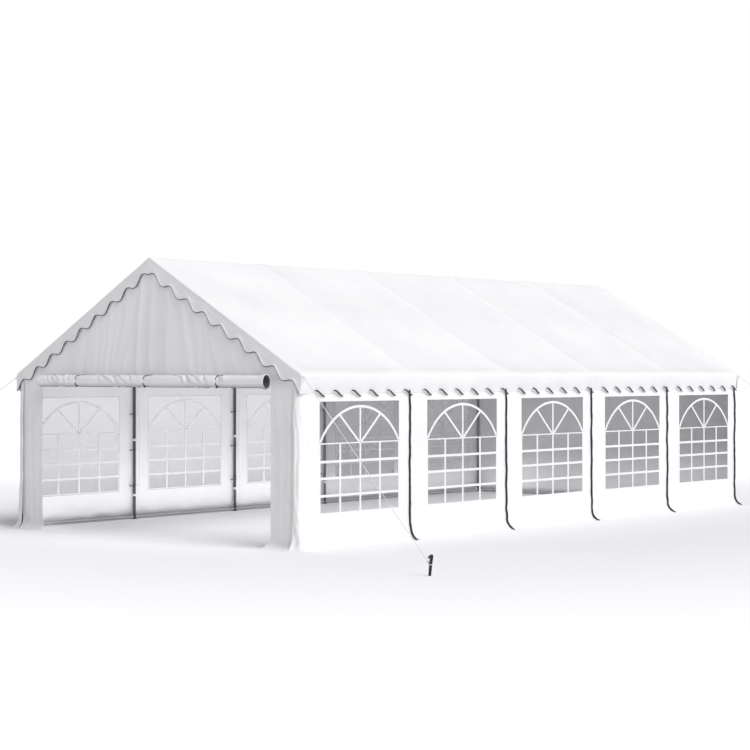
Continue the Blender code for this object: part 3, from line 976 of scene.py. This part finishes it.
def hangBars():
    first = makeBars()
    for side, sign, start in (("left", -1, sidePanel["startLeft"]), ("right", 1, sidePanel["startRight"])):
        for index in range(tent["bays"]):
            middle = -5 + tent["bay"] * index + start + sidePanel["windowWide"] / 2
            move = Matrix.Translation((sign * (tent["wallX"] - 0.0018), middle, 0))
            bars = copyPiece(first, move)
            settle(bars, "%sWindowBars%d" % (side, index + 1), "hem", smooth=30)
    bpy.data.objects.remove(first)


hangBars()
print("window bars placed")


# black lacing along the eaves and down the seams

lacing = {
    "firstStitch": 0.307,
    "stitches": 6,
    "pitch": 0.324,
    "stitch": ((-0.056, 2.524, 1.842), (-0.044, 2.534, 1.843), (-0.012, 2.536, 1.838), (0.030, 2.530, 1.814),
               (0.075, 2.520, 1.789), (0.120, 2.515, 1.776), (0.134, 2.508, 1.774)),
    "stitchRadius": 0.0102,
    "seamRadius": 0.0130,
    "seamTop": 1.835,
    "tail": ((-0.004, 1.88), (-0.008, 1.94), (-0.020, 2.00), (-0.046, 2.06), (-0.086, 2.12)),
}


def makeLacing(side, sign):
    stitches, seams, rings = [], [], []
    for index in range(tent["bays"]):
        seam = -5 + tent["bay"] * index
        for count in range(lacing["stitches"]):
            y = seam + lacing["firstStitch"] + lacing["pitch"] * count
            line = softLine([(sign * x, y + along, z) for along, x, z in lacing["stitch"]], 15, 2)
            share = np.linspace(0, 1, 15)
            radii = lacing["stitchRadius"] * (0.5 + 0.5 * np.sin(math.pi * share) ** 0.45)
            stitches.append((line, radii))
            first, last = lacing["stitch"][0], lacing["stitch"][-1]
            rings += [(2.5295, y + first[0], first[2], -0.21), (2.506, y + last[0], last[2], 0.0)]
    for index in range(1, tent["bays"] + 1):
        seams.append(seamCord(sign, index))
    layCords(side + "EaveLacing", stitches, "lacing", sides=2)
    layCords(side + "SeamLacing", seams, "lacing", sides=3)
    makeRings(side, sign, rings)


# one cord down a seam, whose tail lies on the ground flap before it
def seamCord(sign, index):
    seam = min(-5 + tent["bay"] * index, 4.985)
    down = np.linspace(tent["wallTop"] - lacing["seamTop"], 1.84, 60)
    sway = 0.0035 * wander(down, down * 0 + index, 0.5, 70 + index) + 0.002 * wander(down, down * 0, 0.16, 80 + index)
    a = np.concatenate([seam + sway, [seam + along for along, run in lacing["tail"]]])
    down = np.concatenate([down, [run for along, run in lacing["tail"]]])
    x, y, z = panelSpot(sign, index - 1, np.minimum(a, seam - 0.004), down)
    line = softLine(np.stack([x, np.where(y > seam - 0.0045, a, y), z], axis=1), 90, 1)
    line[:, 0] += sign * 0.012
    line[:, 2] += 0.008
    thin = np.concatenate([np.linspace(0.7, 1, 8), np.ones(len(line) - 14), np.linspace(1, 0.45, 6)])
    lump = 1 + 0.08 * wander(np.arange(len(line)) * 1.0, np.zeros(len(line)), 7, 95 + index)
    return line, lacing["seamRadius"] * thin * lump


# white rings that the lacing passes through: one is made, the rest are copies
def makeRings(side, sign, spots):
    freshStart()
    bpy.ops.mesh.primitive_torus_add(major_radius=0.0085, minor_radius=0.0022, major_segments=12, minor_segments=4,
                                     rotation=(0, math.radians(90), 0))
    first = bpy.context.object
    bpy.ops.object.transform_apply(location=True, rotation=True, scale=True)
    made = []
    for x, y, z, lean in spots:
        turn = Matrix.Rotation(-sign * lean, 4, "Y")
        made.append(copyPiece(first, Matrix.Translation((sign * x, y, z)) @ turn))
    bpy.data.objects.remove(first)
    settle(joinPieces(made), side + "LaceRings", "toggle", smooth=60)


for side, sign in (("left", -1), ("right", 1)):
    makeLacing(side, sign)
print("lacing tied")


# rolled-up door

roll = {
    "start": -2.03,
    "end": 2.068,
    "y": -5.0776,
    "height": 1.948,
    "outer": 0.0715,
    "gap": 0.0022,
    "turns": 4.5,
    "doorHigh": 1.9,
    "ties": (-1.24, 0.03, 1.29),
    "pinch": 0.010,
    "mouthLong": 0.10,
    "mouthWide": 0.017,
    # painted shade: radius of the dark cord under the roll
    "shadeCordRadius": 0.0058,
    # places along the roll where each crease starts on top and ends below, and its depth
    "creases": ((-1.89, -1.60, 0.008), (-1.80, -1.50, 0.010), (-1.71, -1.46, 0.008), (-1.54, -1.37, 0.006),
                (-1.44, -1.30, 0.005), (-0.94, -0.56, 0.006), (-0.80, -0.38, 0.009), (-0.64, -0.24, 0.010),
                (-0.50, -0.16, 0.008), (-0.30, -0.06, 0.009), (0.26, 0.00, 0.004), (0.56, 0.88, 0.008),
                (0.70, 1.02, 0.010), (0.84, 1.16, 0.008), (1.02, 1.22, 0.007), (1.26, 1.46, 0.008),
                (1.32, 1.56, 0.006)),
    "creaseWide": 0.022,
    "creaseDeep": 2.0,
    # painted shade: the dark grey liner inside the right end, standing in for the shade in the roll's hollow, as
    # distances in from the end with their radii
    "shadeLiner": ((0.006, 0.0600), (0.03, 0.0585), (0.08, 0.046), (0.15, 0.036), (0.30, 0.030)),
    "mouthTall": 1.27,
}


# how far the wrapped cloth dips in along the creases and under the ties, share 0 on top and 1 below
def rollDip(x, share):
    dip = 0.0012 * wander(x, share * 0.3, 0.3, 401)
    shown = easeStep((share + 0.25) / 0.3) * easeStep((1.25 - share) / 0.3)
    for high, low, depth in roll["creases"]:
        aside = x - high - (low - high) * (share + 0.06 * np.sin(9 * share + 20 * high))
        reach = roll["creaseWide"] * (1 + 0.4 * np.sin(5 * share + 30 * low))
        valley = np.exp(-((aside / reach) ** 2))
        crest = np.exp(-(((aside - 2.1 * reach) / (1.6 * reach)) ** 2))
        dip += shown * roll["creaseDeep"] * depth * (valley - 0.45 * crest)
    nearTie = np.min(np.abs(x[:, None] - np.array(roll["ties"])), axis=1)
    calm = easeStep((roll["end"] - x - 0.02) / roll["mouthLong"])
    return dip * calm + roll["pinch"] * np.exp(-((nearTie / 0.05) ** 2))


def makeRoll():
    def place(x, share):
        turn = share * 2 * math.pi * roll["turns"]
        shown = np.mod(turn, 2 * math.pi) / math.pi - 0.5
        radius = roll["outer"] - roll["gap"] * turn / (2 * math.pi) - rollDip(x, shown)
        tuck = easeStep((roll["start"] + 0.06 - x) / 0.06)
        flare = easeStep((x - roll["end"] + roll["mouthLong"]) / roll["mouthLong"])
        radius = radius * (1 - 0.42 * tuck**2)
        high = radius + roll["mouthWide"] * flare
        return x, roll["y"] + radius * np.cos(turn), roll["height"] + high * np.sin(turn)

    columns = runStops((roll["start"], roll["start"] + 0.07, 8), (roll["start"] + 0.07, roll["end"], 260))
    cloth = sewSheet("rolledDoor", columns, np.linspace(0, 1, 132), place, (0, -1, 0), finish="rolled", thick=0.0014)
    faceOut(cloth)
    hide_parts("rolled_door")

    # painted shade: a dark cord along the door's free edge, which lies under the roll, standing in for the shade line
    # beneath the roll
    x = np.linspace(roll["start"] + 0.03, roll["end"] - 0.004, 240)
    flare = easeStep((x - roll["end"] + roll["mouthLong"]) / roll["mouthLong"])
    deep = roll["outer"] - 0.5 * rollDip(x, np.full(240, 1.0)) + roll["mouthWide"] * flare
    under = np.stack([x, np.full(240, roll["y"] - 0.004), roll["height"] - deep], axis=1)
    layCords("rolledDoorPiping", [(under, np.full(240, roll["shadeCordRadius"]))], "shadeCord", sides=2)

    # painted shade: a dark grey liner that shows inside the open end, standing in for the shade in the roll's hollow,
    # drawn inwards ring by ring
    freshStart()
    first, radius = roll["shadeLiner"][0]
    bpy.ops.mesh.primitive_circle_add(vertices=40, radius=radius, rotation=(0, math.radians(90), 0),
                                      location=(roll["end"] - first, roll["y"], roll["height"]))
    shadeLiner = bpy.context.object
    bpy.ops.object.transform_apply(location=True, rotation=True, scale=True)
    bpy.ops.object.mode_set(mode="EDIT")
    bpy.ops.mesh.select_all(action="SELECT")
    middle = (0, roll["y"], roll["height"])
    bpy.ops.transform.resize(value=(1, 1, roll["mouthTall"]), center_override=middle)
    for (before, wide), (after, narrow) in zip(roll["shadeLiner"], roll["shadeLiner"][1:]):
        bpy.ops.mesh.extrude_region_move(TRANSFORM_OT_translate={"value": (before - after, 0, 0)})
        ratio = narrow / wide
        bpy.ops.transform.resize(value=(1, ratio, ratio), center_override=middle)
    bpy.ops.object.mode_set(mode="OBJECT")
    faceOut(shadeLiner)
    applyModifier(shadeLiner, "SOLIDIFY", thickness=0.0015, offset=-1.0)
    settle(shadeLiner, "rollLining", "shadeLiner")


# black elastic round the roll, closed in front by a white toggle, with its end hanging below
def tieRoll(index, x):
    y, z = roll["y"], roll["height"]
    hold = roll["outer"] - roll["pinch"] + 0.004
    turns = np.linspace(0.15 * math.pi, 2.12 * math.pi, 44)
    ring = np.stack([x + 0.010 * np.cos(turns) + 0.006 * np.cos(2 * turns), y + hold * np.cos(turns),
                     z + hold * np.sin(turns)], axis=1)
    below = np.exp(-(((turns - 1.36 * math.pi) / 0.45) ** 2))
    radii = 0.0046 + 0.0032 * below
    low = z - hold
    hang = softLine([(x - 0.004, y - 0.030, low + 0.012), (x - 0.012, y - 0.040, low - 0.006),
                     (x - 0.002, y - 0.042, low - 0.016), (x + 0.010, y - 0.036, low - 0.010),
                     (x + 0.006, y - 0.028, low + 0.004)], 18)
    spare = softLine([(x + 0.004, y + 0.01, z + hold), (x + 0.034, y + 0.03, z + hold + 0.008),
                      (x + 0.085, y + 0.045, z + hold + 0.004)], 12)
    lines = [(ring, radii), (hang, np.full(18, 0.0034)), (spare, np.full(12, 0.0028))]
    cord = layCords("doorTie%d" % (index + 1), lines, "lacing", sides=3)
    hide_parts("door_strap_%d" % (index + 1))

    freshStart()
    bpy.ops.mesh.primitive_cylinder_add(vertices=24, radius=0.0135, depth=0.044,
                                        location=(x - 0.012, y - hold - 0.006, z - 0.002))
    toggle = bpy.context.object
    bpy.ops.object.mode_set(mode="EDIT")
    bpy.ops.mesh.select_all(action="SELECT")
    bpy.ops.mesh.bevel(offset=0.005, segments=4)
    bpy.ops.object.mode_set(mode="OBJECT")
    settle(toggle, "doorToggle%d" % (index + 1), "toggle", smooth=60)


makeRoll()
for index, x in enumerate(roll["ties"]):
    tieRoll(index, x)
print("door rolled and tied")


# elastic ties and white bands on the inner poles

poleTies = {
    "poles": (-3.0, -1.0, 1.0, 3.0),
    "poleX": 2.4757,
    "tube": 0.019,
    "ties": (1.469, 0.967, 0.465),
    "bands": (1.108, 0.333),
    "bandHigh": 0.032,
    "ball": 0.0125,
}


def tiePoles(side, sign):
    axis, hold = poleTies["poleX"], poleTies["tube"] + 0.003
    loops, spots = [], []
    for y in poleTies["poles"]:
        for z in poleTies["ties"]:
            route = [(2.496, y - 0.066, z - 0.004), (2.486, y - 0.066, z - 0.002), (axis + 0.004, y - 0.044, z),
                     (axis - hold + 0.002, y - 0.022, z + 0.003), (axis - hold, y, z + 0.001),
                     (axis - hold + 0.002, y + 0.022, z + 0.003), (axis + 0.004, y + 0.042, z),
                     (2.486, y + 0.062, z - 0.003), (2.496, y + 0.062, z - 0.004)]
            line = softLine(route, 24, 2)
            line[:, 0] *= sign
            loops.append((line, 0.0045 + 0.0035 * np.abs(np.linspace(-1, 1, 24)) ** 3))
            spots.append((sign * (axis - hold - poleTies["ball"]), y + 0.007, z))
    layCords(side + "PoleLoops", loops, "lacing", sides=2)

    freshStart()
    bpy.ops.mesh.primitive_ico_sphere_add(subdivisions=3, radius=poleTies["ball"])
    first = bpy.context.object
    balls = [copyPiece(first, Matrix.Translation(spot)) for spot in spots]
    bpy.data.objects.remove(first)
    settle(joinPieces(balls), side + "PoleBalls", "toggle", smooth=60)

    freshStart()
    bpy.ops.mesh.primitive_cylinder_add(vertices=24, radius=poleTies["tube"] + 0.0006, depth=poleTies["bandHigh"],
                                        end_fill_type="NOTHING")
    first = bpy.context.object
    applyModifier(first, "SOLIDIFY", thickness=0.0016, offset=1.0)
    applyModifier(first, "BEVEL", width=0.0006, segments=1, limit_method="ANGLE")
    bands = [copyPiece(first, Matrix.Translation((sign * axis, y, z)))
             for y in poleTies["poles"] for z in poleTies["bands"]]
    bpy.data.objects.remove(first)
    settle(joinPieces(bands), side + "PoleBands", "strap", smooth=40)


for side, sign in (("left", -1), ("right", 1)):
    tiePoles(side, sign)
print("inner poles tied")


# guy ropes from the eave corners to hooked pegs

guy = {
    "hook": (2.5592, 4.985, 1.998),
    "knot": (0.012, -0.002),
    "foot": (5.27, 6.05),
    "grip": 0.115,
    "rope": 0.004,
    "wrap": 0.0205,
    "pegWide": 0.034,
    "pegTip": 0.7,
    "pegThick": 0.022,
    "throat": 0.16,
    "lean": math.tan(math.radians(10)),
}


# a peg standing at the origin, its beak towards -X: a tapered shaft, then the head drawn up and out
def makePeg():
    freshStart()
    bpy.ops.mesh.primitive_cube_add(size=1, location=(0, 0, guy["throat"] / 2),
                                    scale=(guy["pegWide"] * guy["pegTip"], guy["pegThick"], guy["throat"]))
    peg = bpy.context.object
    bpy.ops.object.transform_apply(location=True, rotation=True, scale=True)
    selectFaces(peg, lambda face: face.normal.z > 0.5)
    bpy.ops.transform.resize(value=(1 / guy["pegTip"], 1, 1))
    bpy.ops.mesh.extrude_region_move(TRANSFORM_OT_translate={"value": (0.004, 0, 0.022)})
    bpy.ops.mesh.extrude_region_move(TRANSFORM_OT_translate={"value": (0, 0, 0.036)})
    bpy.ops.transform.resize(value=(0.72, 0.9, 1))
    bpy.ops.object.mode_set(mode="OBJECT")
    selectFaces(peg, lambda face: face.normal.x < -0.5 and face.center.z > guy["throat"] + 0.03)
    bpy.ops.mesh.extrude_region_move(TRANSFORM_OT_translate={"value": (-0.026, 0, -0.008)})
    bpy.ops.transform.resize(value=(1, 0.9, 0.72))
    bpy.ops.mesh.extrude_region_move(TRANSFORM_OT_translate={"value": (-0.020, 0, -0.010)})
    bpy.ops.transform.resize(value=(1, 0.85, 0.75))
    bpy.ops.object.mode_set(mode="OBJECT")
    # the broad sides are pressed in, as a ribbed moulding
    selectFaces(peg, lambda face: abs(face.normal.y) > 0.9 and face.center.z < guy["throat"])
    bpy.ops.mesh.inset(thickness=0.0055, depth=-0.005)
    bpy.ops.object.mode_set(mode="OBJECT")
    applyModifier(peg, "BEVEL", width=0.0016, segments=2, limit_method="ANGLE")
    for spot in peg.data.vertices:
        spot.co.x += guy["lean"] * spot.co.z
    return peg


# a ring of rope round an upright post
def ropeRing(centre, radius, lift, turns=1.0, start=0.0):
    marks = np.linspace(start, start + 2 * math.pi * turns, int(28 * turns))
    climb = np.linspace(-lift / 2, lift / 2, len(marks))
    return np.stack([centre[0] + radius * np.cos(marks), centre[1] + radius * np.sin(marks), centre[2] + climb], axis=1)


def tieGuys():
    first = makePeg()
    for end, ySign in (("front", -1), ("back", 1)):
        for side, xSign in (("left", -1), ("right", 1)):
            name = end + side.title()
            foot = np.array([xSign * guy["foot"][0], ySign * guy["foot"][1], 0])
            hook = np.array([xSign * guy["hook"][0], ySign * guy["hook"][1], guy["hook"][2]])
            inward = (hook - foot) * np.array([1, 1, 0])
            inward /= np.linalg.norm(inward)
            turn = Matrix.Rotation(math.atan2(-inward[1], -inward[0]), 4, "Z")
            peg = settle(copyPiece(first, Matrix.Translation(foot) @ turn), name + "Peg", "peg", smooth=35)
            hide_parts("peg_%s_%s" % (end, side))

            shaft = foot - inward * guy["lean"] * guy["grip"] + np.array([0, 0, guy["grip"]])
            grip = shaft + inward * guy["wrap"]
            knot = hook + np.array([xSign * guy["knot"][0], 0, guy["knot"][1]])
            along = (grip - knot) / np.linalg.norm(grip - knot)
            main = evenLine([knot, grip], 40)
            wrapped = ropeRing(shaft, guy["wrap"], 0.012, 1.6)
            tail = softLine([knot, hook + np.array([xSign * 0.004, 0, -0.006]), hook + np.array([xSign * -0.002, 0, 0.006]),
                             hook + np.array([xSign * 0.008, 0, 0.010]), knot + along * 0.03], 18)
            binding = []
            for place in (knot + along * 0.035, grip - along * 0.045):
                side1 = np.cross(along, (0, 0, 1))
                side1 /= np.linalg.norm(side1)
                side2 = np.cross(along, side1)
                marks = np.linspace(0, 6 * math.pi, 40)
                coil = place + np.outer(np.cos(marks), side1) * 0.006 + np.outer(np.sin(marks), side2) * 0.006
                binding.append((coil + np.outer(marks / (6 * math.pi) - 0.5, along) * 0.018, np.full(40, 0.003)))
            lines = [(main, np.full(40, guy["rope"])), (wrapped, np.full(len(wrapped), guy["rope"])),
                     (tail, np.full(18, guy["rope"] * 0.9))] + binding
            rope = layCords(name + "Rope", lines, "rope", sides=3)
            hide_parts("guy_rope_%s_%s" % (end, side))
            makeHook(name, hook, xSign)
    bpy.data.objects.remove(first)


# small steel ring on the roof's corner that the rope is tied to
def makeHook(name, hook, xSign):
    freshStart()
    bpy.ops.mesh.primitive_torus_add(major_radius=0.012, minor_radius=0.0022, major_segments=24, minor_segments=8,
                                     rotation=(math.radians(90), 0, 0), location=hook + np.array([xSign * 0.006, 0, 0.004]))
    settle(bpy.context.object, name + "Hook", "metal", smooth=60)


tieGuys()
print("guy ropes tied")

for part in list(bpy.data.objects):
    if "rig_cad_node" in part and part.type == "MESH":
        part.data.materials.clear()
        part.data.materials.append(finishes["pale" if "base_rail" in part.name else "steel"])
